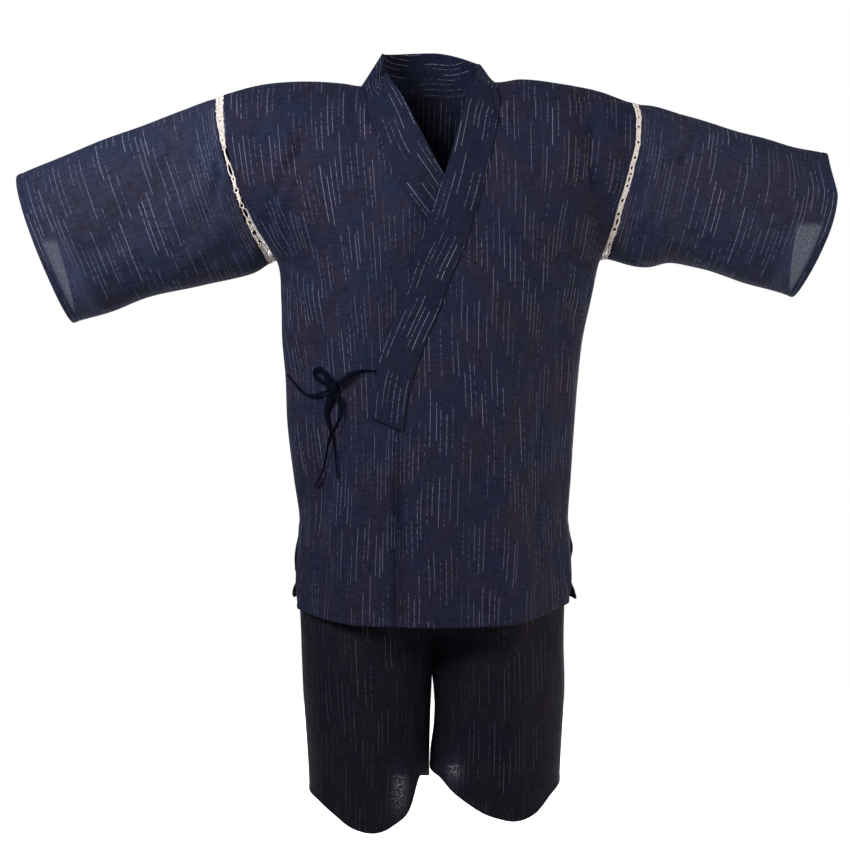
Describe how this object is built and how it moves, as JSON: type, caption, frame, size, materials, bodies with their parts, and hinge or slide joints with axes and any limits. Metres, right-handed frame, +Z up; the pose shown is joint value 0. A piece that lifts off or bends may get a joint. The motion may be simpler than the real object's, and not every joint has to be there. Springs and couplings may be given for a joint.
{
  "type": "jinbei set",
  "caption": "Jinbei set as worn: wrap jacket with wide lace-joined sleeves and side ties, and short wide-legged trousers, hollow and open at neck, cuffs, hem and legs.",
  "frame": {"origin": "foot of the neck on the middle plane, level with the shoulder ridge, where the wearer's shoulders carry the jacket", "axes": "+Z up, +X to the wearer's left, -Y out of the wearer's front"},
  "size_m": [1.1003, 0.2701, 1.0456],
  "materials": {
    "jacket_crepe": "thin crinkled cotton, dull",
    "collar_crepe": "the same cotton, folded double",
    "shorts_crepe": "thin crinkled cotton, dull",
    "tie_tape": "narrow sewn cotton tape",
    "cream_lace": "knotted cotton cord lace"
  },
  "bodies": {
    "root": {"body_right": "jacket_crepe", "body_left": "jacket_crepe", "sleeve_right": "jacket_crepe", "sleeve_left": "jacket_crepe", "collar": "collar_crepe", "lace_right_front": "cream_lace", "lace_right_back": "cream_lace", "lace_left_front": "cream_lace", "lace_left_back": "cream_lace", "shorts_right_front": "shorts_crepe", "shorts_right_back": "shorts_crepe", "shorts_left_front": "shorts_crepe", "shorts_left_back": "shorts_crepe", "waistband": "shorts_crepe", "tie_collar": "tie_tape", "tie_side": "tie_tape", "tie_loop_upper": "tie_tape", "tie_tail_long": "tie_tape", "tie_tail_short": "tie_tape", "tie_knot": "tie_tape"}
  },
  "joints": []
}
